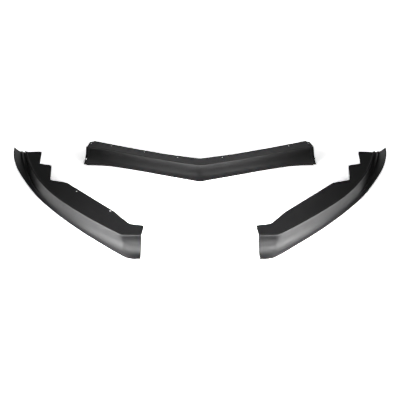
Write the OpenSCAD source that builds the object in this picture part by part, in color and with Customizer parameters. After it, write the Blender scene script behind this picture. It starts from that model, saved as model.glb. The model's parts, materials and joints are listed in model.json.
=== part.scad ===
// Front splitter lip in three mouldings: a V-shaped centre section and two side sections
// that sweep back to the wheel arches, each with a winglet at its rear end.
// X runs across the car, the front faces -Y, and Z is up. Lengths are in mm.
// The sections lie apart: each side section is pulled in and forward from its fitted place.

/* [Section] */
// Top of the bolting flange above the lower edge
flange_h = 44; // [36:1:60]
// Height of the raised rim above the flange
rim_h = 2; // [1:0.5:4]
// Width of the raised rim
rim_w = 6; // [5:0.5:10]
// Radius on the rim's front corner
rim_r = 1.5; // [0.5:0.25:2]
// Height of the upright face under that corner
rim_face = 2; // [1:0.5:4]
// Thickness of the moulded wall
wall = 3; // [2:0.25:4]
// Height of the blunt lower edge
edge_t = 4; // [3.5:0.25:6]
// Depth of the stiffening bead under the rim, below the flange's underside
bead = 1; // [0.5:0.5:3]
// Tuck of the cove: share of its reach at which its end tangents meet
cove_in = 0.28; // [0.15:0.01:0.45]
// Flare of the cove: share of its drop at which its end tangents meet
cove_up = 0.14; // [0.05:0.01:0.4]

/* [Centre section] */
// Lengths of the crease line's runs from the nose: nose, front, shoulder, end
centre_crease_l = [18, 176, 95, 120]; // [5:1:300]
// Turn of each run of the crease line, in degrees
centre_crease_turn = [15, 3.5, 1, -9]; // [-20:0.5:25]
// Lengths of the lower edge's runs
centre_edge_l = [3, 185, 108, 117]; // [2:1:300]
// Turn of each run of the lower edge, in degrees
centre_edge_turn = [17.5, 0.5, -3, -18]; // [-20:0.5:25]
// Reach of the lower edge in front of the crease at the nose
nose_reach = 31; // [15:1:50]
// Depth of the flange behind the crease at the nose, the front run and the end
centre_flange_d = [44.5, 41, 49.5]; // [30:0.5:90]
// Radius of the flange's rear outline at the nose
nose_round = 60; // [20:5:120]
// Radius at each end of the rear outline's straight front run
front_round = 200; // [100:10:300]
// Length of the recessed end tab that goes under a side section
tab_l = 12; // [8:0.5:20]
// Gap between the tab and the side section that covers it
tab_gap = 0.3; // [0.1:0.1:1]
// Distance from the flange's rear corner to the tab's narrower rear edge
tab_step = 3; // [1:0.5:20]

/* [Side sections] */
// Depth of the face at the inner end, from the crease to the lower edge
inner_reach = 50.5; // [35:0.5:70]
// Lean of the inner end: the crease starts this far inwards of the lower corner
inner_lean = 1; // [0:0.5:8]
// Lengths of the crease line's runs: inner end, corner, front, sweep, haunch, tail
side_crease_l = [42, 27, 70, 163, 209, 142]; // [10:1:350]
// Turn of each run of the crease line, in degrees
side_crease_turn = [0, 36.5, 1, 6, 17.5, 11.5]; // [-5:0.5:45]
// Lengths of the lower edge's runs
side_edge_l = [11, 43, 114, 121, 291, 145]; // [5:1:350]
// Turn of each run of the lower edge, in degrees
side_edge_turn = [-3.5, 41.5, 2, 4, 10.5, 30.5]; // [-5:0.5:45]

/* [Winglet] */
// Length of the lower edge over which it climbs to the tip
climb_l = 290; // [200:5:350]
// Rise of the tip above the flange
tip_rise = 6; // [0:0.5:30]
// Rise of the tip above the blade's root
blade_rise = 12; // [8:0.5:20]
// Rise of the ledge above the blade's root
ledge_rise = 4; // [2:0.5:7]
// Rise of the groove's floor, beside the crease, above the blade's root
groove_rise = 1.5; // [0:0.5:4]

/* [Screw holes] */
// Diameter of the flange's screw holes
screw_d = 5.5; // [4:0.1:8]
// Distance of the centre section's holes from its flange's rear edge
screw_inset = 8; // [6:0.5:16]
// Diameter of the hole in the end tab's face
tab_hole_d = 5; // [3:0.1:6]
// Distance of that hole from the tab's end
tab_hole_in = 4; // [3:0.1:6]

/* [Layout] */
// Distance that each side section is pulled in from its fitted place
pull_in = 222.5; // [0:0.5:260]
// Distance that each side section is pulled forward from its fitted place
pull_forward = 480; // [0:1:600]

/* [Hidden] */
$fn = 48;

rim_top = flange_h + rim_h;
face_top = rim_top - rim_r - rim_face;
rim_under = flange_h - wall - bead;
tip_z = flange_h + tip_rise;
tab_sink = wall + tab_gap;
// The flange's front edge runs inside the rim by this much
flange_lap = rim_w/2;
// Depth that a bore passes through a wall on each side
through = 1;
// Length of the joggle between the face and the sunk tab
joggle_l = wall/2;
// Share of the reach at which the tab's face ends
tab_last = 0.88;
// Share of the tab's reach at which its face is bored
tab_hole_s = 0.47;
// Depth of the tab's flange, and of its screw hole, behind the crease
tab_d = centre_flange_d[2] - tab_step;
tab_screw_d = tab_d - screw_inset;
// Distance of the centre section's screw holes behind the crease
centre_screw_d = centre_flange_d[1] - screw_inset;

// Share of the reach at the groove's floor: where the winglet begins, and at its rear
groove_share = [0.42, 0.17];
// Share of the reach at the blade's root: where the winglet begins, and at its rear
root_share = [0.62, 0.43];
// Power of the blade's rise: 1 is straight, more is hollow
blade_power = 1.4;

// Flange corners of a side section: place along the crease in runs, depth behind it, radius
side_corners = [
    [-0.12, 47, 1.5], [0.93, 54.5, 22], [3.05, 70.5, 60], [4.42, 67, 14], [4.65, 32.5, 7],
    [5.09, 66, 9], [5.3, 34, 3.5], [5.86, 54.5, 7], [5.96, 4, 0.5]
];
// Screw holes of a side section: place along the crease in runs, depth behind it
side_screws = [[3.14, 65], [4.1, 64.5]];
// Flange corners of the centre section's half: place along the crease, depth behind it, radius
centre_corners = [
    [0, centre_flange_d[0], nose_round], [1.68, centre_flange_d[1], front_round],
    [2.86, centre_flange_d[1], front_round]
];
// Screw holes of the centre section, per half: place along the crease in runs
centre_screws = [1.39, 2.14, 3.34];

// Radii of the flange's rear corners at its end: beside the tab, the tab's root, the tab's end
end_rounds = [2, 1, 3];

// Stations in each run
centre_steps = [3, 6, 5, 8];
side_steps = [3, 7, 5, 8, 13, 13];

// Pose [x, y, heading] at the end of an arc of length l that turns by a, from pose p
function arc_end(p, l, a) = abs(a) < 0.01
    ? [p[0] + l*cos(p[2]), p[1] + l*sin(p[2]), p[2] + a]
    : let (r = l*180/(PI*a))
      [p[0] + r*(sin(p[2] + a) - sin(p[2])), p[1] - r*(cos(p[2] + a) - cos(p[2])), p[2] + a];

// A line is [first pose, lengths of its runs, turns of its runs]
function run_start(line, i) = i == 0
    ? line[0]
    : arc_end(run_start(line, i - 1), line[1][i - 1], line[2][i - 1]);

// Pose q runs along a line, so 2.5 is half way along its third run
function along(line, q) =
    let (i = max(0, min(floor(q), len(line[1]) - 1)), f = q - i)
    arc_end(run_start(line, i), f*line[1][i], f*line[2][i]);

// Length of a line from q runs along it to its end
function rest_of(line, q) =
    let (n = len(line[1]), i = min(floor(q), n - 1))
    (i + 1 - q)*line[1][i] + (i + 1 < n ? rest_of(line, i + 1) : 0);

// Point d behind a line, square to it
function behind(line, q, d) =
    let (p = along(line, q)) [p[0] - d*sin(p[2]), p[1] + d*cos(p[2])];

// Places along a line for a list of steps per run
function stations(steps) =
    concat([for (i = [0 : len(steps) - 1]) for (k = [0 : steps[i] - 1]) i + k/steps[i]],
           [len(steps)]);

// Smooth weight that goes from 0 to 1 while x goes from a to b
function ease(x, a, b) = let (t = max(0, min(1, (x - a)/(b - a)))) t*t*(3 - 2*t);

// Height of the cove at share s of its reach: a parabola through its two end tangents
function cove_z(s, foot) =
    let (t = (sqrt(cove_in*cove_in + (1 - 2*cove_in)*s) - cove_in)/(1 - 2*cove_in),
         knee = foot + cove_up*(face_top - foot))
    (1 - t)*(1 - t)*face_top + 2*t*(1 - t)*knee + t*t*foot;

// Value between the two of a pair, at weight t
function between(pair, t) = pair[0] + (pair[1] - pair[0])*t;

// Shares of the reach at which the groove and the blade's root lie, w along the winglet
function groove_s(w) = between(groove_share, ease(w, 0.1, 0.7));
function root_s(w) = between(root_share, ease(w, 0.15, 0.55));

// Height of the winglet's section at share s: groove, ledge, root, then the rising blade
function wing_z(s, g, r, foot) =
    let (m = (g + r)/2, root = foot*(1 - blade_rise/tip_z))
    s < g ? root + groove_rise + (face_top - root - groove_rise)*pow(1 - s/g, 2) :
    s < m ? root + groove_rise + (ledge_rise - groove_rise)*ease(s, g, m) :
    s < r ? root + ledge_rise*(1 - ease(s, m, r)) :
    root + (foot - root)*pow((s - r)/(1 - r), blade_power);

// Height of the skin's outer face: the cove becomes the winglet as w grows
function skin_z(s, w, foot) =
    between([cove_z(s, foot), wing_z(s, groove_s(w), root_s(w), foot)], ease(w, 0, 0.4));

// Point [n, z] of the skin at share s, d below its outer face, where n is square to the crease
function skin(s, w, foot, reach, d) =
    let (e = 0.01, lo = max(0, s - e), hi = min(1, s + e),
         m = (skin_z(hi, w, foot) - skin_z(lo, w, foot))/((hi - lo)*reach),
         k = sqrt(1 + m*m))
    [s*reach + d*m/k, skin_z(s, w, foot) - d/k];

// Closed section ring: rim, outer face, blunt edge and inner face, sunk by d below full size
function ring(w, base, reach, d, last) =
    let (g = groove_s(w), r = root_s(w), foot = base + edge_t,
         outer = concat([for (k = [0 : 3]) k*g/4], [g, (3*g + r)/4, (g + r)/2, (g + 3*r)/4, r],
                        [for (k = [1 : 4]) r + (1 - r)*k/4]),
         inner = concat([for (k = [2 : 3]) k*g/4], [g, (3*g + r)/4, (g + r)/2, (g + 3*r)/4, r],
                        [for (k = [1 : 3]) r + (1 - r)*k/4]),
         toe = skin(last, w, foot, reach, d))
    concat(
        [[-rim_w - d, rim_under - d], [-rim_w - d, rim_top - d]],
        [for (a = [90, 45, 0]) [-d + rim_r*(cos(a) - 1), rim_top - d + rim_r*(sin(a) - 1)]],
        [for (s = outer) skin(s*last, w, foot, reach, d)],
        [[toe[0], max(base, toe[1] - edge_t)], [toe[0] - wall, max(base, toe[1] - edge_t)]],
        [for (i = [len(inner) - 1 : -1 : 0]) skin(inner[i]*last, w, foot, reach, d + wall)],
        [[-wall - d, rim_under - d]]
    );

// Section ring put in its upright plane, from the crease line to the edge line at q
function placed_ring(crease, edge, q, w, base, d, last) =
    let (c = along(crease, q), e = along(edge, q),
         v = [e[0] - c[0], e[1] - c[1]],
         reach = v[0]*sin(c[2]) - v[1]*cos(c[2]))
    [for (p = ring(w, base, reach, d, last)) [c[0] + v[0]*p[0]/reach, c[1] + v[1]*p[0]/reach, p[1]]];

// Solid through a row of rings that have equally many points
module loft(rings) {
    m = len(rings[0]);
    n = len(rings);
    sides = [for (i = [0 : n - 2]) for (j = [0 : m - 1])
        for (f = [[i*m + j, (i + 1)*m + j, i*m + (j + 1) % m],
                  [i*m + (j + 1) % m, (i + 1)*m + j, (i + 1)*m + (j + 1) % m]]) f];
    ends = [[for (j = [0 : m - 1]) j], [for (j = [m - 1 : -1 : 0]) (n - 1)*m + j]];
    polyhedron([for (r = rings) for (p = r) p], concat(sides, ends));
}

// Open outline whose inner corners [x, y, radius] are rounded by arcs
function rounded(c) = [for (i = [0 : len(c) - 1])
    let (b = [c[i][0], c[i][1]], r = c[i][2])
    each i == 0 || i == len(c) - 1 ? [b] :
    let (a = [c[i - 1][0], c[i - 1][1]] - b, e = [c[i + 1][0], c[i + 1][1]] - b,
         u = a/norm(a), v = e/norm(e),
         half = acos(u*v)/2,
         mid = b + (u + v)/norm(u + v)*r/sin(half),
         first = b + u*r/tan(half) - mid,
         from = atan2(first[1], first[0]),
         sweep = (u[0]*v[1] - u[1]*v[0] > 0 ? 1 : -1)*(2*half - 180),
         steps = ceil(abs(sweep)/10))
    [for (k = [0 : steps]) mid + r*[cos(from + sweep*k/steps), sin(from + sweep*k/steps)]]];

// The same points or corners on the other side of the car, in the opposite order
function mirrored(c) = [for (i = [len(c) - 1 : -1 : 0])
    [for (k = [0 : len(c[i]) - 1]) k == 0 ? -c[i][0] : c[i][k]]];

// Corners [place along the crease in runs, depth behind it, radius] as [x, y, radius]
function corners_behind(line, c) =
    [for (p = c) concat(behind(line, p[0], p[1]), p[2])];

// Guide lines of one side section, from its inner lower corner
side_crease = [[-inner_lean, inner_reach, 0], side_crease_l, side_crease_turn];
side_edge = [[0, 0, 0], side_edge_l, side_edge_turn];
side_runs = len(side_crease_l);

// Guide lines of the centre section's right half, from the nose
centre_crease = [[0, nose_reach, 0], centre_crease_l, centre_crease_turn];
centre_edge = [[0, 0, 0], centre_edge_l, centre_edge_turn];
centre_runs = len(centre_crease_l);
// Places where the face ends and where the sunk tab is reached
tab_q = centre_runs - tab_l/centre_crease_l[centre_runs - 1];
sunk_q = tab_q + joggle_l/centre_crease_l[centre_runs - 1];
// Places of the tab's screw hole and of the hole in its face
tab_screw_q = (tab_q + centre_runs)/2;
tab_hole_q = centre_runs - tab_hole_in/centre_crease_l[centre_runs - 1];

// Flange corners [x, y, radius] of the centre section's right half
centre_half = corners_behind(centre_crease,
    concat(centre_corners, [[tab_q, centre_flange_d[2], end_rounds[0]], [tab_q, flange_lap, 0]]));

// Place of a side section's inner lower corner, and the middle of the whole layout
joint = along(centre_edge, tab_q);
side_x = joint[0] + tab_gap - pull_in;
side_y = joint[1] - pull_forward;
rear_y = max([for (p = rounded(centre_half)) p[1]]);
middle_y = (side_y + min([for (q = stations(side_steps)) along(side_edge, q)[1]]) + rear_y)/2;

// Flat plate behind a crease line, from its rear outline to a line inside the rim
module flange(outline, front, z) {
    translate([0, 0, z])
        linear_extrude(wall)
            polygon(concat(outline, [for (i = [len(front) - 1 : -1 : 0]) front[i]]));
}

// Screw hole through a flange whose top is at height z
module screw_hole(p, z) {
    translate([p[0], p[1], z - wall - through])
        cylinder(h = wall + 2*through, d = screw_d);
}

// Skin of a side section: rim, cove and winglet
module side_skin() {
    loft([for (q = stations(side_steps))
        let (w = max(0, 1 - rest_of(side_edge, q)/climb_l),
             base = (tip_z - edge_t)*(1 - cos(180*w))/2)
        placed_ring(side_crease, side_edge, q, w, base, 0, 1)]);
}

// One side section, the right one, from its inner lower corner
module side_section() {
    ends = [[0, flange_lap, 0], [side_runs, flange_lap, 0]];
    difference() {
        union() {
            side_skin();
            flange(rounded(corners_behind(side_crease, concat([ends[0]], side_corners, [ends[1]]))),
                   [for (q = stations(side_steps)) behind(side_crease, q, flange_lap)],
                   flange_h - wall);
        }
        for (s = side_screws)
            screw_hole(behind(side_crease, s[0], s[1]), flange_h);
    }
}

// Skin of the centre section: the right half's rings and their mirror images
module centre_skin() {
    half = [for (q = concat([for (q = stations(centre_steps)) if (q < tab_q) q],
                            [tab_q, sunk_q, centre_runs]))
        q > tab_q ? placed_ring(centre_crease, centre_edge, q, 0, 0, tab_sink, tab_last)
                  : placed_ring(centre_crease, centre_edge, q, 0, 0, 0, 1)];
    loft(concat([for (i = [len(half) - 1 : -1 : 1]) [for (p = half[i]) [-p[0], p[1], p[2]]]], half));
}

// Main flange of the centre section, across both halves
module centre_flange() {
    front = [for (q = concat([for (q = stations(centre_steps)) if (q < tab_q) q], [tab_q]))
        behind(centre_crease, q, flange_lap)];
    nose = [centre_half[0]];
    wing = [for (i = [1 : len(centre_half) - 1]) centre_half[i]];
    line = [for (i = [1 : len(front) - 1]) front[i]];
    flange(rounded(concat(mirrored(wing), nose, wing)),
           concat(mirrored(line), [front[0]], line),
           flange_h - wall);
}

// Sunk flange of the right end tab, and the riser that joins it to the main flange
module tab_flange() {
    root_q = tab_q - wall/centre_crease_l[centre_runs - 1];
    riser_d = tab_d - joggle_l;
    flange(rounded(corners_behind(centre_crease,
               [[root_q, flange_lap, 0], [root_q, tab_d, end_rounds[1]],
                [centre_runs, tab_d, end_rounds[2]], [centre_runs, flange_lap, 0]])),
           [behind(centre_crease, root_q, flange_lap), behind(centre_crease, centre_runs, flange_lap)],
           flange_h - tab_sink - wall);
    translate([0, 0, flange_h - tab_sink - wall/2])
        linear_extrude(tab_sink)
            polygon([for (p = [[root_q, flange_lap], [root_q, riser_d], [sunk_q, riser_d], [sunk_q, flange_lap]])
                behind(centre_crease, p[0], p[1])]);
}

// Bore square to the sunk face of the right end tab
module tab_face_hole() {
    c = along(centre_crease, tab_hole_q);
    e = along(centre_edge, tab_hole_q);
    v = [e[0] - c[0], e[1] - c[1]];
    reach = v[0]*sin(c[2]) - v[1]*cos(c[2]);
    top = skin(tab_hole_s, 0, edge_t, reach, tab_sink);
    under = skin(tab_hole_s, 0, edge_t, reach, tab_sink + wall);
    from = [c[0] + v[0]*under[0]/reach, c[1] + v[1]*under[0]/reach, under[1]];
    to = [c[0] + v[0]*top[0]/reach, c[1] + v[1]*top[0]/reach, top[1]];
    d = to - from;
    translate(from - d)
        rotate([0, acos(d[2]/norm(d)), atan2(d[1], d[0])])
            cylinder(h = 3*norm(d), d = tab_hole_d);
}

module left_section() {
    color("#2d2d2e")
        mirror([1, 0, 0])
            translate([side_x, side_y - middle_y, 0])
                side_section();
}

module centre_section() {
    color("#3a3a3b")
        translate([0, -middle_y, 0])
            difference() {
                union() {
                    centre_skin();
                    centre_flange();
                    for (m = [0, 1])
                        mirror([m, 0, 0])
                            tab_flange();
                }
                for (m = [0, 1])
                    mirror([m, 0, 0]) {
                        for (q = centre_screws)
                            screw_hole(behind(centre_crease, q, centre_screw_d), flange_h);
                        screw_hole(behind(centre_crease, tab_screw_q, tab_screw_d),
                                   flange_h - tab_sink);
                        tab_face_hole();
                    }
            }
}

module right_section() {
    color("#2d2d2e")
        translate([side_x, side_y - middle_y, 0])
            side_section();
}

left_section();
centre_section();
right_section();
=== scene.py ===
"""Front splitter lip: three satin black plastic mouldings, laid out on a white floor.

Each section is one thin moulded wall, worked out as closed section rings along two guide lines:
the crease, where the flange meets the face, and the lower edge. A ring is drawn in points [n, z]:
n is the distance in front of the crease, and z the height.
"""
import json
from math import radians

import bmesh
import bpy
import numpy as np
from bpy.props import FloatProperty, FloatVectorProperty, IntProperty, PointerProperty
from mathutils import Matrix, Vector


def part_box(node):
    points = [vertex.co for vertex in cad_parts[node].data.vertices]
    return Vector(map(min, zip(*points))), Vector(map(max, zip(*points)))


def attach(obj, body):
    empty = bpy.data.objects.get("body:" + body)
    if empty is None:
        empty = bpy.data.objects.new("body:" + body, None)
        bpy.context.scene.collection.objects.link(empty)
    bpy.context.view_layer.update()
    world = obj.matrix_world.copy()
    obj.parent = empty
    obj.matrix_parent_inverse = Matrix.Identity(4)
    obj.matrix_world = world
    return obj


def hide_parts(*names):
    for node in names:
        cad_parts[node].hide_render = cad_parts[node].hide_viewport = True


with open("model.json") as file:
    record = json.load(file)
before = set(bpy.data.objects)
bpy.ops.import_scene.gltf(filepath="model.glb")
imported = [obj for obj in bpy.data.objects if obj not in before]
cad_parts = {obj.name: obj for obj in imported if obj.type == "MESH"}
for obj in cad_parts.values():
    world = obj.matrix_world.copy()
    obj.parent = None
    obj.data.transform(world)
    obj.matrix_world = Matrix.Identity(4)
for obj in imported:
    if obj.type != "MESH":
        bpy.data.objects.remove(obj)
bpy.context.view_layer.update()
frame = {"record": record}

bl_info = {
    "name": "Front Splitter Lip",
    "version": (1, 0, 0),
    "blender": (4, 5, 0),
    "location": "View3D > Sidebar > Lip",
    "description": "Builds the three mouldings of a front splitter lip and its studio",
    "category": "Add Mesh",
}

MM = 0.001
MIRROR = np.array([-1, 1, 1])

# Corners of a side section's flange: place along the crease in runs, depth behind it and radius in
# mm. They are the inner end, the corner, the widest place, the two notches and the tail
SIDE_FLANGE = ((-0.12, 47, 1.5), (0.93, 54.5, 22), (3.05, 70.5, 60), (4.42, 67, 14), (4.65, 32.5, 7),
               (5.09, 66, 9), (5.3, 34, 3.5), (5.86, 54.5, 7))
# Place and radius of the corner where its rear edge meets the rim
SIDE_LAST_CORNER = (5.955, 1)
# Its inner end leans back. Up to this place, in runs, the rings lean with it
LEAN_UNTIL = 0.7
# Places along the centre section's crease, in runs, between which its flange is of even depth
EVEN_FROM, EVEN_TO = 1.68, 2.86
# Radii in mm of that flange's end corner, the root of the tab and the tab's own corner
TAB_ROUNDS = (2, 0.7, 3)

# Points along the parts of a ring. Top and inner side have the same number, so that each point
# has a partner across the wall
FLANGE_ARC, FLANGE_POINTS, TOE_POINTS = 5, 4, 4
RIM_POINTS = (4, 5, 7)
BEAD_POINTS = (4, 4, 8)
# Shares of the face's steps down to the groove, up to the ledge and down to the blade's root. The
# blade has the rest. A power above 1 crowds the steps towards the start
FACE_SHARES = (0.34, 0.16, 0.16)
FACE_POWERS = (1.35, 1, 1, 1)
# Rings round each rounded end, and along the step down to a tab
END_ARC, JOGGLE_RINGS = 4, 7
# Stations closer than this, in runs, count as one, and so do points closer than this, in metres
STATION_GAP, POINT_GAP = 2e-4, 1e-6
# A screw hole is flared a little at both faces. Its cutter stands out past them
HOLE_FLARE, CUTTER_OVER, CUTTER_SIDES = 0.4 * MM, 2 * MM, 40
# Faces that meet at more than this keep a sharp edge between them
SHARP_ANGLE = radians(40)

# Where the right side's lamps aim, in metres: the face just past the corner, and behind the corner
PAST_CORNER, CORNER = (0.24, -0.23, 0.03), (0.21, -0.22, 0.03)
# Lamps for the right side: kind, azimuth and elevation in degrees. The left side mirrors them
SOFTBOXES = (("low", 70, 10), ("middle", 80, 28), ("high", 80, 48), ("edge", 120, 64))
SPOTS = (("quarter", 50, 42), ("top", 0, 80))
BEAMS = (("front", 12, 36), ("corner", 55, 25), ("crown", 30, 58))
# Each rig: its lamps, their aim, distance, width and spread. Narrow beams miss the centre section
RIGS = ((SOFTBOXES, PAST_CORNER, 1.3, 0.5, 38), (SPOTS, CORNER, 1.3, 0.4, 24),
        (BEAMS, CORNER, 1.5, 0.3, 16))
# Lamps on the middle line: kind, aim, azimuth, elevation, distance, width and depth, and spread
MIDDLE_LAMPS = (("rear", (0, 0, 0), 180, 20, 3.0, (1.6, 1.4), 180),
                ("paper", (0, 0.65, 0), 180, 80, 1.8, (1.4, 0.3), 30))
# Width of the camera's sensor in millimetres
SENSOR_WIDTH = 36


def linear(code):
    """Linear RGB of an sRGB hex colour such as '1d1d1e'."""
    c = np.array([int(code[i:i + 2], 16) for i in (0, 2, 4)]) / 255
    return tuple(float(v) for v in np.where(c <= 0.04045, c / 12.92, ((c + 0.055) / 1.055) ** 2.4))


def length(label, words, value, **more):
    """A length property whose default is given in millimetres."""
    return FloatProperty(name=label, description=words, default=value * MM, unit="LENGTH", precision=5,
                         **more)


def lengths(label, words, values):
    """Run lengths of a guide line, given in millimetres."""
    return FloatVectorProperty(name=label, description=words, size=len(values), unit="LENGTH",
                               default=[v * MM for v in values])


def turns(label, words, values):
    """Turns of a guide line's runs, given in degrees."""
    return FloatVectorProperty(name=label, description=words, size=len(values), unit="ROTATION",
                               default=[radians(v) for v in values])


def share(label, words, value):
    """A share from 0 to 1."""
    return FloatProperty(name=label, description=words, default=value, min=0, max=1, subtype="FACTOR")


def power(label, words, value):
    """A lamp's power in watts."""
    return FloatProperty(name=label, description=words, default=value, min=0, unit="POWER")


class LipSection(bpy.types.PropertyGroup):
    """Sizes of the moulded section that all three mouldings share."""
    flange_height: length("Flange height", "Top of the bolting flange above the lower edge", 44)
    rim_height: length("Rim height", "Rise of the rim above the flange", 2)
    rim_width: length("Rim width", "Width of the raised rim", 6)
    rim_radius: length("Rim radius", "Radius on the rim's front corner", 1.5)
    rim_face: length("Rim face", "Height of the upright face under that corner", 2)
    wall: length("Wall", "Thickness of the moulded wall", 3)
    edge_height: length("Edge height", "Height of the blunt lower edge", 4)
    bead: length("Bead", "Depth of the bead under the rim", 1)
    corner: length("Corner radius", "Radius that the mould leaves on outer corners", 0.7)
    cove_tuck: share("Cove tuck", "Share of the cove's reach at which its end tangents meet", 0.28)
    cove_flare: share("Cove flare", "Share of the cove's drop at which its end tangents meet", 0.14)
    spacing: length("Spacing", "Distance between section rings along a moulding", 5)
    cove_steps: IntProperty(name="Cove steps", description="Grid steps down the face", default=38, min=24)


class LipCentre(bpy.types.PropertyGroup):
    """Guide lines of the centre section's right half, from the nose, and its end tab."""
    crease_lengths: lengths("Crease lengths", "Nose, front, shoulder and end runs", (18, 176, 95, 120))
    crease_turns: turns("Crease turns", "Turn of each run of the crease", (15, 3.5, 1, -9))
    edge_lengths: lengths("Edge lengths", "Runs of the lower edge", (3, 185, 108, 117))
    edge_turns: turns("Edge turns", "Turn of each run of the lower edge", (17.5, 0.5, -3, -18))
    nose_reach: length("Nose reach", "Reach of the lower edge in front of the crease at the nose", 31)
    flange_depths: lengths("Flange depths", "Flange at the nose, the front run and the end", (44.5, 41, 49.5))
    nose_round: length("Nose round", "Radius of the flange's rear outline at the nose", 60)
    front_round: length("Front round", "Radius at each end of that outline's straight run", 200)
    tab_length: length("Tab length", "Recessed end that goes under a side section", 12)
    tab_gap: length("Tab gap", "Gap between the tab and what covers it", 0.3)
    tab_step: length("Tab step", "From the flange's rear corner to the tab's narrower rear edge", 3)
    joggle: length("Joggle", "Length of the step down to the tab", 1.5)
    tab_share: share("Tab share", "Share of the reach at which the tab's face ends", 0.88)


class LipSide(bpy.types.PropertyGroup):
    """Guide lines of a side section, from its inner lower corner."""
    reach: length("Inner reach", "Depth of the face at the inner end", 50.5)
    lean: length("Inner lean", "The crease starts this far inwards of the lower corner", 1)
    crease_lengths: lengths("Crease lengths", "Inner end, corner, front, sweep, haunch and tail runs",
                            (42, 27, 70, 163, 209, 142))
    crease_turns: turns("Crease turns", "Turn of each run of the crease", (0, 36.5, 1, 6, 17.5, 11.5))
    edge_lengths: lengths("Edge lengths", "Runs of the lower edge", (11, 43, 114, 121, 291, 145))
    edge_turns: turns("Edge turns", "Turn of each run of the lower edge", (-3.5, 41.5, 2, 4, 10.5, 30.5))


class LipWinglet(bpy.types.PropertyGroup):
    """The winglet at the rear of a side section: groove, ledge and rising blade."""
    climb: length("Climb", "Length of the lower edge over which it climbs to the tip", 290)
    tip_rise: length("Tip rise", "Rise of the tip above the flange", 6)
    blade_rise: length("Blade rise", "Rise of the tip above the blade's root", 12)
    ledge_rise: length("Ledge rise", "Rise of the ledge above the blade's root", 4)
    groove_rise: length("Groove rise", "Rise of the groove's floor above the blade's root", 1.5)
    groove_first: share("Groove first", "Groove's floor, share of the reach where the winglet begins", 0.42)
    groove_last: share("Groove last", "The same at the rear", 0.17)
    root_first: share("Root first", "Blade's root, share of the reach where the winglet begins", 0.62)
    root_last: share("Root last", "The same at the rear", 0.43)
    blade_power: FloatProperty(name="Blade power", description="1 is straight, more is hollow", default=1.4)


class LipFinish(bpy.types.PropertyGroup):
    """Moulded plastic of all three mouldings."""
    colour: FloatVectorProperty(name="Plastic", description="Colour of the plastic", subtype="COLOR",
                                size=3, default=linear("0e0e0f"), min=0, max=1)
    roughness: share("Roughness", "Roughness of the grained surface", 0.38)
    unevenness: share("Unevenness", "Most that the roughness changes either way", 0.04)
    patch: length("Patch", "Width of the patches of uneven sheen", 36)
    grain: length("Grain", "Width of one grain of the moulded texture", 1.6)
    grain_height: length("Grain height", "Height of the grain in the bump", 0.12)
    grain_strength: share("Grain strength", "Strength of that bump", 0.3)
    wave: length("Wave", "Length of the faint waves that cooling leaves", 90)
    wave_height: length("Wave height", "Height of the waves in the bump", 1.2)
    wave_strength: share("Wave strength", "Strength of that bump", 0.18)


class LipStudio(bpy.types.PropertyGroup):
    """Camera, lamps and floor."""
    camera_height: length("Camera height", "Height of the lens above the floor", 1107)
    camera_back: length("Camera back", "Distance of the lens in front of the layout's middle", 1529.56)
    camera_down: FloatProperty(name="Camera down", description="Angle of the view below level",
                               unit="ROTATION", default=radians(36))
    lens: FloatProperty(name="Lens", description="Focal length on a 36 mm sensor", default=54, unit="CAMERA")
    low_power: power("Low softboxes", "Beside the side sections, near the floor", 0.66)
    middle_power: power("Middle softboxes", "Beside the side sections, a third of the way up", 0.31)
    high_power: power("High softboxes", "Beside the side sections, half way up", 0.27)
    edge_power: power("Edge softboxes", "High over the side sections' outer edges", 0.20)
    quarter_power: power("Quarter spots", "At the outer front of the corners, half way up", 0.13)
    top_power: power("Top spots", "Above the corners", 0.26)
    front_power: power("Front beams", "In front of the corners, below half way up", 0.11)
    corner_power: power("Corner beams", "At the outer front of the corners, low", 0.24)
    crown_power: power("Crown beams", "In front of the corners, high", 0.20)
    rear_power: power("Rear softbox", "Behind the object, for the flanges", 7.2)
    paper_power: power("Paper softbox", "Over the paper behind the centre section", 1.2)
    sky: FloatProperty(name="Sky", description="Strength of the world", default=0.07, min=0)
    floor_half: length("Floor half", "Half the width of the floor", 15000)
    floor_colour: FloatVectorProperty(name="Floor", description="Colour of the floor", subtype="COLOR",
                                      size=3, default=(0.8, 0.8, 0.8), min=0, max=1)
    floor_gain: FloatProperty(name="Floor gain", description="Times that its colour counts for the camera",
                              default=4.2, min=1)
    paper_reach: length("Paper reach", "Distance from the middle at which the floor starts to glow", 420)


def ease(x, a, b):
    """Smooth weight from 0 to 1 while x goes from a to b: t squared times (3 - 2t)."""
    t = np.clip((x - a) / (b - a), 0, 1)
    return t * t * (3 - 2 * t)


def arc(n, z, r, start, end, count):
    """Points [n, z] on a circle of radius r about (n, z), from one angle to another in degrees."""
    a = np.radians(np.linspace(start, end, count))
    return np.stack([n + r * np.cos(a), z + r * np.sin(a)], -1)


def bend(a, b, c, count):
    """Points at each station on the parabola that leaves a towards b and reaches c from b."""
    t = np.linspace(0, 1, count)[None, :, None]
    return (1 - t) ** 2 * a[:, None] + 2 * t * (1 - t) * b[:, None] + t ** 2 * c[:, None]


def rounded(corners, steps=7):
    """An open outline of corners [x, y, radius] whose inner corners become tangent arcs.

    An arc's centre lies between the corner's two sides, its radius over sin(half the angle) away.
    """
    points = [corners[0][:2]]
    for before, corner, after in zip(corners[:-2], corners[1:-1], corners[2:]):
        b, r = corner[:2], corner[2]
        u = (before[:2] - b) / np.linalg.norm(before[:2] - b)
        v = (after[:2] - b) / np.linalg.norm(after[:2] - b)
        half = np.arccos(u @ v) / 2
        middle = b + (u + v) / np.linalg.norm(u + v) * r / np.sin(half)
        first = b + u * r / np.tan(half) - middle
        sweep = np.sign(u[0] * v[1] - u[1] * v[0]) * (2 * half - np.pi)
        a = np.arctan2(first[1], first[0]) + sweep * np.linspace(0, 1, steps)
        points.extend(middle + r * np.stack([np.cos(a), np.sin(a)], -1))
    points.append(corners[-1][:2])
    return np.array(points)


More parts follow.
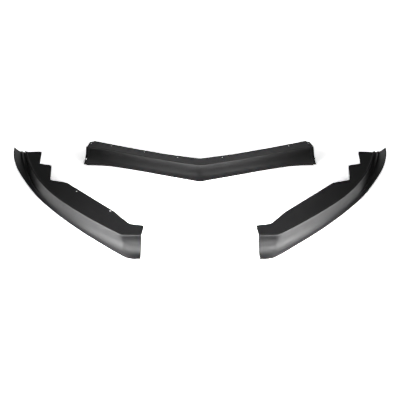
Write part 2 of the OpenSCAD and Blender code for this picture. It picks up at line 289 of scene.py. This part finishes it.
class Guide:
    """A chain of arcs: each run has a length and turns evenly by an angle. q counts runs."""
    # A place is looked up on a scale that starts a little before the line, with this many marks
    LOOK_FROM, LOOK_MARKS = -0.15, 6000

    def __init__(self, x, y, run_lengths, run_turns):
        self.run_lengths = np.array(run_lengths)
        self.run_turns = np.array(run_turns)
        self.runs = len(self.run_lengths)
        self.starts = np.array([[x, y, 0.0]])
        for run in range(self.runs):
            self.starts = np.vstack([self.starts, self._pose(self.starts[run], run, 1.0)])

    def _pose(self, start, run, f):
        """An arc's chord is its length times sin(a/2)/(a/2), and points along its middle heading."""
        turn = f * self.run_turns[run]
        chord = f * self.run_lengths[run] * np.sinc(turn / 2 / np.pi)
        middle = start[..., 2] + turn / 2
        return np.stack([start[..., 0] + chord * np.cos(middle), start[..., 1] + chord * np.sin(middle),
                         start[..., 2] + turn], -1)

    def run_at(self, q):
        """The run in which each place lies."""
        return np.clip(np.floor(q).astype(int), 0, self.runs - 1)

    def at(self, q):
        """Poses [x, y, heading] at q runs along."""
        q = np.asarray(q, float)
        run = self.run_at(q)
        return self._pose(self.starts[run], run, q - run)

    def left(self, q):
        """Length of the line from q to its end."""
        run = self.run_at(q)
        whole = np.append(np.cumsum(self.run_lengths[::-1])[::-1], 0)
        return whole[run] - (q - run) * self.run_lengths[run]

    def behind(self, q, depth):
        """Points at a depth behind the line, square to it."""
        p = self.at(q)
        return np.stack([p[..., 0] - depth * np.sin(p[..., 2]), p[..., 1] + depth * np.cos(p[..., 2])], -1)

    def corners_behind(self, rows):
        """Corners [x, y, radius] in metres from rows of place in runs, depth and radius in mm."""
        return [np.append(self.behind(q, depth * MM), radius * MM) for q, depth, radius in rows]

    def nearest(self, points):
        """Places q on the line that lie nearest to each point, looked up on a fine scale."""
        q = np.linspace(self.LOOK_FROM, self.runs, self.LOOK_MARKS)
        off = np.linalg.norm(points[:, None, :] - self.at(q)[None, :, :2], axis=2)
        return q[np.argmin(off, axis=1)]


class Face:
    """Height of the outer face at share s of its reach: a cove that becomes the winglet with w.

    w is the share of the climb that a station has behind it, and foot the height of the edge.
    """
    # Shares of the climb over which the groove moves, the root moves, and the winglet takes over
    GROOVE_MOVES, ROOT_MOVES, WING_GROWS = (0.1, 0.7), (0.15, 0.55), (0, 0.4)
    # Step in s to each side, over which the slope is measured
    SLOPE_STEP = 0.01

    def __init__(self, section, winglet):
        self.top = section.flange_height + section.rim_height - section.rim_radius - section.rim_face
        self.tuck, self.flare = section.cove_tuck, section.cove_flare
        self.tip = section.flange_height + winglet.tip_rise
        self.fall = winglet.blade_rise / self.tip
        self.ledge, self.groove, self.power = winglet.ledge_rise, winglet.groove_rise, winglet.blade_power
        self.groove_from, self.groove_to = winglet.groove_first, winglet.groove_last
        self.root_from, self.root_to = winglet.root_first, winglet.root_last

    def groove_share(self, w):
        """The groove's floor moves towards the crease as the winglet grows."""
        return self.groove_from + (self.groove_to - self.groove_from) * ease(w, *self.GROOVE_MOVES)

    def root_share(self, w):
        """So does the blade's root."""
        return self.root_from + (self.root_to - self.root_from) * ease(w, *self.ROOT_MOVES)

    def cove(self, s, foot):
        """A parabola whose end tangents meet at share tuck of the reach and flare of the drop."""
        a = self.tuck
        t = (np.sqrt(a * a + (1 - 2 * a) * np.clip(s, 0, 1)) - a) / (1 - 2 * a)
        knee = foot + self.flare * (self.top - foot)
        return (1 - t) ** 2 * self.top + 2 * t * (1 - t) * knee + t * t * foot

    def wing(self, s, w, foot):
        """Falls to the groove's floor, rises to the ledge, falls to the root, then the blade rises."""
        g, r = self.groove_share(w), self.root_share(w)
        m = (g + r) / 2
        root = foot * (1 - self.fall)
        fall = root + self.groove + (self.top - root - self.groove) * np.clip(1 - s / g, 0, 1) ** 2
        ledge = root + self.groove + (self.ledge - self.groove) * ease(s, g, m)
        drop = root + self.ledge * (1 - ease(s, m, r))
        blade = root + (foot - root) * np.clip((s - r) / (1 - r), 0, 1) ** self.power
        return np.where(s < g, fall, np.where(s < m, ledge, np.where(s < r, drop, blade)))

    def height(self, s, w, foot):
        """The cove, and the winglet with a weight that grows along the first part of the climb."""
        b = ease(w, *self.WING_GROWS)
        return (1 - b) * self.cove(s, foot) + b * self.wing(s, w, foot)

    def skin(self, s, w, foot, reach, depth):
        """Points [n, z] that lie a depth below the outer face, along its normal."""
        low, high = np.clip(s - self.SLOPE_STEP, 0, 1), np.clip(s + self.SLOPE_STEP, 0, 1)
        slope = (self.height(high, w, foot) - self.height(low, w, foot)) / ((high - low) * reach)
        k = np.sqrt(1 + slope ** 2)
        return np.stack([s * reach + depth * slope / k, self.height(s, w, foot) - depth / k], -1)

    def steps(self, w, count):
        """Shares s of the reach at a station's steps down the face, closer from groove to root."""
        g, r = self.groove_share(w), self.root_share(w)
        marks = np.stack([0 * g, g, (g + r) / 2, r, 0 * g + 1], -1)
        counts = np.round(np.array(FACE_SHARES) * count).astype(int)
        counts = np.append(counts, count - counts.sum())
        spans = zip(marks.T[:-1, :, None], marks.T[1:, :, None], counts, FACE_POWERS)
        s = np.concatenate([a + (b - a) * (np.arange(n) / n) ** crowd for a, b, n, crowd in spans], axis=1)
        return s / s[:, -1:]


def rim_path(sizes):
    """Points [n, z] over the rim, on quarter circles: up from the flange, onto the top, down in front."""
    r, top = sizes.corner, sizes.flange_height + sizes.rim_height
    up, over, down = RIM_POINTS
    return np.concatenate([
        arc(-sizes.rim_width - r, sizes.flange_height + r, r, -90, 0, up),
        arc(-sizes.rim_width + r, top - r, r, 180, 90, over),
        arc(-sizes.rim_radius, top - sizes.rim_radius, sizes.rim_radius, 90, 0, down),
    ])


def bead_path(sizes):
    """Points [n, z] under the rim: two quarter circles down the bead, then level to the inner face."""
    r, under = sizes.bead / 2, sizes.flange_height - sizes.wall
    out, down, level = BEAD_POINTS
    start, end = [-sizes.rim_width + sizes.corner, under - sizes.bead], [-sizes.wall, under - sizes.bead]
    return np.concatenate([
        arc(-sizes.rim_width - r, under - r, r, 90, 0, out),
        arc(-sizes.rim_width + r, under - r, r, 180, 270, down),
        np.linspace(start, end, level + 1)[1:],
    ])


def flange_path(rear, front, level, side, r):
    """Points xyz from the flange's rounded rear edge to the rim, on its top (side 1) or under it (-1).

    The rear edge is a quarter circle of radius r, and the rest is straight from rear to front.
    """
    span = np.linalg.norm(front - rear, axis=1)
    a = np.radians(np.linspace(0, 90, FLANGE_ARC))
    even = np.arange(1, FLANGE_POINTS + 1) / (FLANGE_POINTS + 1)
    run = np.concatenate([np.repeat(r * (1 - np.cos(a))[None], len(rear), 0),
                          r + (span[:, None] - r) * even], axis=1)
    z = level[:, None] - side * np.append(r * (1 - np.sin(a)), np.zeros(FLANGE_POINTS))[None]
    xy = rear[:, None] + (front - rear)[:, None] * run[..., None] / span[:, None, None]
    return np.concatenate([xy, z[..., None]], -1)


def toe_paths(sizes, toe, outer_end, inner_end, base):
    """Points [n, z] of the blunt lower edge: its front side, and its rear side a wall behind.

    Each side bends down from the skin's end and turns in at the bottom. The bends are parabolas
    about as large as the radius that the mould leaves.
    """
    r = sizes.corner
    n, z = toe[:, 0], toe[:, 1]
    back, floor = n - sizes.wall, np.maximum(base, z - sizes.edge_height)

    def point(a, b):
        return np.stack([a, b], -1)

    front = [bend(outer_end, toe, point(n, z - r), TOE_POINTS + 1)[:, 1:],
             bend(point(n, floor + r), point(n, floor), point(n - r, floor), TOE_POINTS)]
    low = point(back, floor + r / 2)
    rear = [bend(inner_end, point(back, inner_end[:, 1]), low, TOE_POINTS + 1)[:, 1:],
            bend(low, point(back, floor), point(back + r / 2, floor), TOE_POINTS + 1)[:, 1:]]
    return np.concatenate(front, axis=1), np.concatenate(rear, axis=1)


def section_rings(sizes, face, crease, edge, q, rear, w=0.0, base=0.0, sink=0.0, last=1.0):
    """Closed rings [station, point, xyz] of the moulded wall, one at each place q.

    Each ring runs from the flange's rear edge over its top, the rim and the outer face to the
    blunt lower edge, and back along the inner side, which lies one wall thickness below. At each
    station, rear is the flange's rear point, w the share of the winglet's climb, base the height
    of the underside, sink how far a tab is sunk, and last the share of the reach where the face
    ends.
    """
    w, base, sink, last = (np.broadcast_to(value, q.shape) for value in (w, base, sink, last))
    c, e = crease.at(q), edge.at(q)
    v = e[:, :2] - c[:, :2]
    reach = v[:, 0] * np.sin(c[:, 2]) - v[:, 1] * np.cos(c[:, 2])
    wall, r = sizes.wall, sizes.corner
    under = sizes.flange_height - wall

    # A sunk rim goes back as far as it goes down, because the face slopes
    drop = np.stack([-sink, -sink], -1)[:, None]
    rim, bead = rim_path(sizes)[None] + drop, bead_path(sizes)[None] + drop

    s = face.steps(w, sizes.cove_steps)
    depth, end = sink[:, None], last[:, None]
    form = w[:, None], (base + sizes.edge_height)[:, None], reach[:, None]
    outer = face.skin(s * (end - r / reach[:, None]), *form, depth)
    inner = face.skin(s * (end - (wall + r) / reach[:, None]), *form, depth + wall)
    inner[..., 1] = np.minimum(inner[..., 1], under - sizes.bead - depth)
    toe = face.skin(end, *form, depth)[:, 0]
    toe_front, toe_rear = toe_paths(sizes, toe, outer[:, -1], inner[:, -1], base)

    def placed(path):
        """Turns [n, z] into xyz: n is carried along the line from the crease to the edge."""
        xy = c[:, None, :2] + v[:, None] * path[..., :1] / reach[:, None, None]
        return np.concatenate([xy, path[..., 1:]], -1)

    top = [placed(path) for path in (rim, outer, toe_front)]
    low = [placed(path) for path in (bead, inner, toe_rear)]
    top_flange = flange_path(rear, top[0][:, 0, :2], sizes.flange_height - sink, 1, r)
    low_flange = flange_path(rear, low[0][:, 0, :2], under - sink, -1, r)
    back = np.concatenate([low_flange, *low], axis=1)[:, ::-1]
    return np.concatenate([top_flange, *top, back], axis=1)


def outwards(ring, travel):
    """Unit directions out of the wall round a ring, square to its outline and to its travel."""
    across = ring - ring[::-1]
    normal = np.cross(np.roll(ring, -1, 0) - np.roll(ring, 1, 0), travel)
    normal /= np.linalg.norm(normal, axis=1)[:, None] + 1e-12
    return normal if (across * normal).sum() > 0 else -normal


def rounded_ends(rings, radius):
    """Rounds both ends: each end ring becomes a few that grow to it along a quarter circle."""
    made = []
    for end, step in ((0, 1), (-1, -1)):
        ring = rings[end]
        travel = (rings[end + 2 * step] - ring).mean(0)
        travel /= np.linalg.norm(travel)
        out = outwards(ring, travel)
        made.append([ring + travel * radius * (1 - np.sin(a)) - out * radius * (1 - np.cos(a))
                     for a in np.radians(np.linspace(90, 0, END_ARC))])
    return np.concatenate([made[0], rings[1:-1], made[1][::-1]])


def wall_mesh(name, rings):
    """Closed mesh of a row of rings. Each end is closed across the wall, outer point to inner."""
    count, m = rings.shape[:2]
    index = np.arange(count * m).reshape(count, m)
    a, b = index[:-1], index[1:]
    sides = np.stack([a, b, np.roll(b, -1, 1), np.roll(a, -1, 1)], -1).reshape(-1, 4)
    caps = []
    for row, turn in ((index[0], 1), (index[-1], -1)):
        upper, lower = row[:m // 2], row[::-1][:m // 2]
        quads = np.stack([upper[:-1], upper[1:], lower[1:], lower[:-1]], -1)
        caps.append(quads[:, ::turn])
    mesh = bpy.data.meshes.new(name)
    mesh.from_pydata(rings.reshape(-1, 3).tolist(), [], np.concatenate([sides, *caps]).tolist())
    bm = bmesh.new()
    bm.from_mesh(mesh)
    bmesh.ops.remove_doubles(bm, verts=bm.verts, dist=POINT_GAP)
    bmesh.ops.recalc_face_normals(bm, faces=bm.faces)
    bm.to_mesh(mesh)
    bm.free()
    return mesh


def hole_cutter(mount, wall):
    """Points, side faces and end faces of a closed spindle along a mount's axis.

    Its radius is the hole's in the middle of the wall, and grows by as much as the height does
    from where the flare starts.
    """
    dims = mount["dims"]
    radius = dims.get("r_mm", dims.get("hole_r_mm")) * MM
    half, past = wall / 2, wall / 2 + CUTTER_OVER
    heights = np.array([-past, -half, -half + HOLE_FLARE, half - HOLE_FLARE, half, past])
    grown = HOLE_FLARE + CUTTER_OVER
    radii = radius + np.array([grown, HOLE_FLARE, 0, 0, HOLE_FLARE, grown])
    a = np.linspace(0, 2 * np.pi, CUTTER_SIDES, endpoint=False)
    grid = np.stack([radii[:, None] * np.cos(a), radii[:, None] * np.sin(a),
                     np.repeat(heights[:, None], CUTTER_SIDES, 1)], -1)
    index = np.arange(len(heights) * CUTTER_SIDES).reshape(-1, CUTTER_SIDES)
    sides = np.stack([index[:-1], np.roll(index[:-1], -1, 1), np.roll(index[1:], -1, 1), index[1:]], -1)
    turned = Vector(mount["axis"]).to_track_quat("Z", "Y").to_matrix()
    ends = np.stack([index[0, ::-1], index[-1]])
    return grid.reshape(-1, 3) @ np.array(turned).T, sides.reshape(-1, 4), ends


def holes_in(node, wall):
    """Cutters of the record's round mounts that lie in a node's box seen from above, as one mesh."""
    low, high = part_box(node)
    points, faces = [], []
    for mount in frame["record"]["mounts"]:
        if mount["kind"] not in ("bore", "bolt_pattern"):
            continue
        cutter, sides, ends = hole_cutter(mount, wall)
        spread = mount["dims"].get("spacing_x_mm", 0) * MM / 2
        # A pattern is placed on the flange's top, and a single bore in the middle of the wall
        inwards = wall / 2 if mount["kind"] == "bolt_pattern" else 0
        for side in ((-1, 1) if spread else (0,)):
            centre = np.array(mount["pos_m"], float) - np.array(mount["axis"]) * inwards
            centre[0] += side * spread
            if all(low[i] <= centre[i] <= high[i] for i in range(2)):
                faces += (sides + len(points)).tolist() + (ends + len(points)).tolist()
                points += (cutter + centre).tolist()
    mesh = bpy.data.meshes.new(f"{node}_holes")
    mesh.from_pydata(points, [], faces)
    return mesh


def with_holes(piece, node, wall):
    """Bores the screw holes with a Boolean modifier and keeps the result as the piece's mesh."""
    cutter = bpy.data.objects.new(f"{node}_cutter", holes_in(node, wall))
    bpy.context.scene.collection.objects.link(cutter)
    bore = piece.modifiers.new("Screw holes", "BOOLEAN")
    bore.operation, bore.solver, bore.object = "DIFFERENCE", "EXACT", cutter
    view = bpy.context.evaluated_depsgraph_get()
    bored = bpy.data.meshes.new_from_object(piece.evaluated_get(view))
    piece.modifiers.clear()
    piece.data = bored
    bpy.data.objects.remove(cutter)


def finished(node, rings, scene):
    """One moulding as a piece that stands for its CAD node, set in that node's box."""
    low, high = (np.array(corner)[:2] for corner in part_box(node))
    own_low, own_high = rings[..., :2].min((0, 1)), rings[..., :2].max((0, 1))
    # The arcs between stations can stand out by less than 0.1 mm, which is taken off here
    fit = np.minimum(1, (high - low) / (own_high - own_low))
    rings = rings.copy()
    rings[..., :2] = (low + high) / 2 + (rings[..., :2] - (own_low + own_high) / 2) * fit
    name = f"{node}_moulding"
    piece = bpy.data.objects.new(name, wall_mesh(name, rings))
    scene.collection.objects.link(piece)
    with_holes(piece, node, scene.lip_section.wall)
    piece.data.shade_smooth()
    piece.data.set_sharp_from_angle(angle=SHARP_ANGLE)
    flat = piece.modifiers.new("Weighted normals", "WEIGHTED_NORMAL")
    flat.keep_sharp = True
    piece.data.materials.clear()
    piece.data.materials.append(satin_black_abs(scene.lip_finish))
    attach(piece, "root")
    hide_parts(node)
    return piece


def stations(guide, outline_places, spacing):
    """Places along a guide at about an even spacing, three or more a run, and at the outline's points."""
    even = [np.linspace(run, run + 1, max(3, int(round(guide.run_lengths[run] / spacing))) + 1)
            for run in range(guide.runs)]
    q = np.unique(np.concatenate([*even, outline_places]))
    q = q[(q >= 0) & (q <= guide.runs)]
    keep = np.concatenate([[True], np.diff(q) > STATION_GAP])
    return q[keep]


def side_rings(scene):
    """Rings of the right side section, from its inner lower corner."""
    sizes, side, winglet = scene.lip_section, scene.lip_side, scene.lip_winglet
    crease = Guide(-side.lean, side.reach, side.crease_lengths, side.crease_turns)
    edge = Guide(0, 0, side.edge_lengths, side.edge_turns)
    face = Face(sizes, winglet)
    least = (sizes.rim_width + 2 * sizes.corner) / MM
    last_place, last_round = SIDE_LAST_CORNER
    corners = [(0, least, 0), *SIDE_FLANGE, (last_place, least, last_round), (crease.runs, least, 0)]
    outline = rounded(crease.corners_behind(corners))[1:]
    places = crease.nearest(outline)
    early = places < LEAN_UNTIL
    places[early] = (places[early] - places[0]) / (LEAN_UNTIL - places[0]) * LEAN_UNTIL
    places[-1] = crease.runs
    order = np.argsort(places)
    places, outline = places[order], outline[order]
    q = stations(crease, places, sizes.spacing)
    rear = np.stack([np.interp(q, places, outline[:, i]) for i in (0, 1)], -1)
    w = np.clip(1 - edge.left(q) / winglet.climb, 0, None)
    base = (face.tip - sizes.edge_height) * (1 - np.cos(np.pi * w)) / 2
    rings = section_rings(sizes, face, crease, edge, q, rear, w=w, base=base)
    return rounded_ends(rings, sizes.corner)


def centre_rings(scene):
    """Rings of the whole centre section: the right half and its mirror image."""
    sizes, centre = scene.lip_section, scene.lip_centre
    crease = Guide(0, centre.nose_reach, centre.crease_lengths, centre.crease_turns)
    edge = Guide(0, 0, centre.edge_lengths, centre.edge_turns)
    face = Face(sizes, scene.lip_winglet)
    end = crease.runs
    last_run = centre.crease_lengths[end - 1]
    tab, sunk = end - centre.tab_length / last_run, end - (centre.tab_length - centre.joggle) / last_run
    nose, front, rear_end = (d / MM for d in centre.flange_depths)
    tab_depth = rear_end - centre.tab_step / MM
    nose_round, front_round = centre.nose_round / MM, centre.front_round / MM
    end_round, root_round, tab_round = TAB_ROUNDS
    half = crease.corners_behind([
        (0, nose, nose_round), (EVEN_FROM, front, front_round), (EVEN_TO, front, front_round),
        (tab, rear_end, end_round), (tab, tab_depth, root_round), (end, tab_depth, tab_round),
        (end, sizes.rim_width / MM, 0)])
    # The nose is rounded between both halves. Of that outline the right half stays, up to the rim
    outline = rounded([corner * MIRROR for corner in half[:0:-1]] + half)
    outline = outline[outline[:, 0] >= -1e-9][:-1]
    places = np.maximum.accumulate(np.clip(crease.nearest(outline), 0, end))
    places[0] = 0
    # Points square to one place are set a hair apart, so that the places keep their order
    places = np.minimum(places + np.arange(len(places)) * 1e-5, end)
    joggle = np.linspace(tab, sunk, JOGGLE_RINGS)
    q = stations(crease, np.append(places, joggle), sizes.spacing)
    rear = np.stack([np.interp(q, places, outline[:, i]) for i in (0, 1)], -1)
    down = ease(q, tab, sunk)
    sink = (sizes.wall + centre.tab_gap) * down
    last = 1 - (1 - centre.tab_share) * down
    right = section_rings(sizes, face, crease, edge, q, rear, sink=sink, last=last)
    return rounded_ends(np.concatenate([right[:0:-1] * MIRROR, right]), sizes.corner)


def add_node(tree, kind, links=None, **settings):
    """Adds a node with its settings: a name in capitals is a socket's value, links feed sockets."""
    node = tree.nodes.new(kind)
    for key, value in settings.items():
        if key[0].isupper():
            node.inputs[key.replace("_", " ")].default_value = value
        else:
            setattr(node, key, value)
    for socket, source in (links or {}).items():
        tree.links.new(source, node.inputs[socket])
    return node


def new_material(name):
    """A new material and its node tree, which is empty."""
    material = bpy.data.materials.new(name)
    material.use_nodes = True
    material.node_tree.nodes.clear()
    return material, material.node_tree


def satin_black_abs(finish):
    """Satin black ABS, moulded against a grained tool.

    The fine grain makes highlights broad and soft. Cooling leaves faint long waves, which make
    the broad highlights swim a little, and handling leaves the sheen slightly uneven.
    """
    made = bpy.data.materials.get("satin_black_abs")
    if made:
        return made
    made, tree = new_material("satin_black_abs")
    place = add_node(tree, "ShaderNodeTexCoord").outputs["Object"]
    # A real grain is about 0.3 mm wide. It is drawn coarser so that it shows in a close view
    grain = add_node(tree, "ShaderNodeTexNoise", {"Vector": place}, Scale=1 / finish.grain, Detail=3.0)
    wave = add_node(tree, "ShaderNodeTexNoise", {"Vector": place}, Scale=1 / finish.wave, Detail=1.5)
    sheen = add_node(tree, "ShaderNodeTexNoise", {"Vector": place}, Scale=1 / finish.patch, Detail=4.0)
    # Nearly all of the noise lies between 0.3 and 0.7
    uneven = add_node(tree, "ShaderNodeMapRange", {"Value": sheen.outputs["Fac"]}, From_Min=0.3, From_Max=0.7,
                      To_Min=finish.roughness - finish.unevenness,
                      To_Max=finish.roughness + finish.unevenness)
    waves = add_node(tree, "ShaderNodeBump", {"Height": wave.outputs["Fac"]},
                     Strength=finish.wave_strength, Distance=finish.wave_height)
    bump = add_node(tree, "ShaderNodeBump",
                    {"Height": grain.outputs["Fac"], "Normal": waves.outputs["Normal"]},
                    Strength=finish.grain_strength, Distance=finish.grain_height)
    shader = add_node(tree, "ShaderNodeBsdfPrincipled",
                      {"Roughness": uneven.outputs["Result"], "Normal": bump.outputs["Normal"]},
                      Base_Color=(*finish.colour, 1), IOR=1.49)
    add_node(tree, "ShaderNodeOutputMaterial", {"Surface": shader.outputs["BSDF"]})
    return made


def studio_white(studio):
    """Matt white paper that keeps the shadows, and shows as white to the camera and in gloss.

    There its colour counts several times, so that all the lit paper reads as white. Far from the
    middle, past the lamps' beams, it glows as well.
    """
    made, tree = new_material("studio_white")
    path = add_node(tree, "ShaderNodeLightPath").outputs
    seen = path["Is Camera Ray"]
    for ray in ("Is Glossy Ray", "Is Transmission Ray"):
        seen = add_node(tree, "ShaderNodeMath", {0: seen, 1: path[ray]}, operation="MAXIMUM").outputs[0]
    shown = add_node(tree, "ShaderNodeMapRange", {"Value": seen}, To_Min=1.0, To_Max=studio.floor_gain)
    paper = add_node(tree, "ShaderNodeVectorMath", {"Scale": shown.outputs[0]}, operation="SCALE")
    paper.inputs[0].default_value = studio.floor_colour
    place = add_node(tree, "ShaderNodeTexCoord").outputs["Object"]
    away = add_node(tree, "ShaderNodeVectorMath", {0: place}, operation="LENGTH").outputs["Value"]
    far = add_node(tree, "ShaderNodeMapRange", {"Value": away}, interpolation_type="SMOOTHSTEP",
                   From_Min=studio.paper_reach, From_Max=2 * studio.paper_reach)
    strength = add_node(tree, "ShaderNodeMath", {0: seen, 1: far.outputs[0]}, operation="MULTIPLY")
    matt = add_node(tree, "ShaderNodeBsdfDiffuse", {"Color": paper.outputs[0]})
    glow = add_node(tree, "ShaderNodeEmission", {"Strength": strength.outputs[0]}, Color=(1, 1, 1, 1))
    both = add_node(tree, "ShaderNodeAddShader", {0: matt.outputs[0], 1: glow.outputs[0]})
    add_node(tree, "ShaderNodeOutputMaterial", {"Surface": both.outputs[0]})
    return made


def white_world(studio):
    """A weak even sky that shows as white to the camera."""
    world = bpy.data.worlds.new("studio")
    world.use_nodes = True
    tree = world.node_tree
    tree.nodes.clear()
    seen = add_node(tree, "ShaderNodeLightPath").outputs["Is Camera Ray"]
    strength = add_node(tree, "ShaderNodeMapRange", {"Value": seen}, To_Min=studio.sky, To_Max=1.0)
    sky = add_node(tree, "ShaderNodeBackground", {"Strength": strength.outputs[0]}, Color=(1, 1, 1, 1))
    add_node(tree, "ShaderNodeOutputWorld", {"Surface": sky.outputs[0]})
    return world


def softbox(name, target, azimuth, elevation, distance, size, spread, watts):
    """Rectangular lamp aimed at a point. Azimuth 0 is in front, 90 at +X; a small spread is a grid."""
    data = bpy.data.lights.new(name, "AREA")
    data.shape, data.size, data.size_y = "RECTANGLE", *size
    data.energy, data.spread = watts, radians(spread)
    a, e = radians(azimuth), radians(elevation)
    way = Vector((np.sin(a) * np.cos(e), -np.cos(a) * np.cos(e), np.sin(e)))
    place = Matrix.Translation(Vector(target) + way * distance)
    lamp = bpy.data.objects.new(name, data)
    lamp.matrix_world = place @ (-way).to_track_quat("-Z", "Y").to_matrix().to_4x4()
    lamp.visible_camera = False
    bpy.context.scene.collection.objects.link(lamp)


def studio_lamps(studio):
    """The lamps on the middle line, and each rig on both sides."""
    for kind, target, azimuth, elevation, distance, size, spread in MIDDLE_LAMPS:
        softbox(f"{kind}_softbox", target, azimuth, elevation, distance, size, spread,
                getattr(studio, f"{kind}_power"))
    for side, sign in (("right", 1), ("left", -1)):
        for lamps, (x, y, z), distance, width, spread in RIGS:
            for kind, azimuth, elevation in lamps:
                softbox(f"{side}_{kind}", (sign * x, y, z), sign * azimuth, elevation, distance,
                        (width, width), spread, getattr(studio, f"{kind}_power"))


class LIP_OT_centre_section(bpy.types.Operator):
    """Make the V-shaped centre section."""
    bl_idname = "lip.centre_section"
    bl_label = "Centre Section"

    def execute(self, context):
        finished("centre_section", centre_rings(context.scene), context.scene)
        return {"FINISHED"}


class LIP_OT_side_sections(bpy.types.Operator):
    """Make the mirrored pair of side sections."""
    bl_idname = "lip.side_sections"
    bl_label = "Side Sections"

    def execute(self, context):
        rings = side_rings(context.scene)
        finished("right_section", rings, context.scene)
        finished("left_section", rings * MIRROR, context.scene)
        return {"FINISHED"}


class LIP_OT_stage(bpy.types.Operator):
    """Make the floor, the lamps and the camera."""
    bl_idname = "lip.stage"
    bl_label = "Stage"

    def execute(self, context):
        scene, studio = context.scene, context.scene.lip_studio
        half = studio.floor_half
        mesh = bpy.data.meshes.new("floor")
        corners = [(-half, -half, 0), (half, -half, 0), (half, half, 0), (-half, half, 0)]
        mesh.from_pydata(corners, [], [(0, 1, 2, 3)])
        mesh.materials.append(studio_white(studio))
        floor = bpy.data.objects.new("floor", mesh)
        scene.collection.objects.link(floor)
        studio_lamps(studio)
        scene.world = white_world(studio)
        data = bpy.data.cameras.new("camera")
        data.lens, data.sensor_width = studio.lens, SENSOR_WIDTH
        camera = bpy.data.objects.new("camera", data)
        camera.location = (0, -studio.camera_back, studio.camera_height)
        camera.rotation_euler = (np.pi / 2 - studio.camera_down, 0, 0)
        scene.collection.objects.link(camera)
        scene.camera = camera
        scene.view_settings.view_transform = "Standard"
        return {"FINISHED"}


class LIP_PT_panel(bpy.types.Panel):
    """Lists the settings and the operators in the sidebar."""
    bl_label = "Front Splitter Lip"
    bl_space_type = "VIEW_3D"
    bl_region_type = "UI"
    bl_category = "Lip"

    def draw(self, context):
        for group in GROUPS:
            box = self.layout.box()
            settings = getattr(context.scene, group)
            for key in settings.__annotations__:
                box.prop(settings, key)
        for operator in OPERATORS:
            self.layout.operator(operator.bl_idname)


GROUPS = {"lip_section": LipSection, "lip_centre": LipCentre, "lip_side": LipSide,
          "lip_winglet": LipWinglet, "lip_finish": LipFinish, "lip_studio": LipStudio}
OPERATORS = (LIP_OT_centre_section, LIP_OT_side_sections, LIP_OT_stage)
CLASSES = (*GROUPS.values(), *OPERATORS, LIP_PT_panel)


def register():
    for item in CLASSES:
        bpy.utils.register_class(item)
    for name, group in GROUPS.items():
        setattr(bpy.types.Scene, name, PointerProperty(type=group))


def unregister():
    for name in GROUPS:
        delattr(bpy.types.Scene, name)
    for item in reversed(CLASSES):
        bpy.utils.unregister_class(item)


def main():
    register()
    bpy.ops.lip.centre_section()
    bpy.ops.lip.side_sections()
    bpy.ops.lip.stage()


if __name__ == "__main__":
    main()
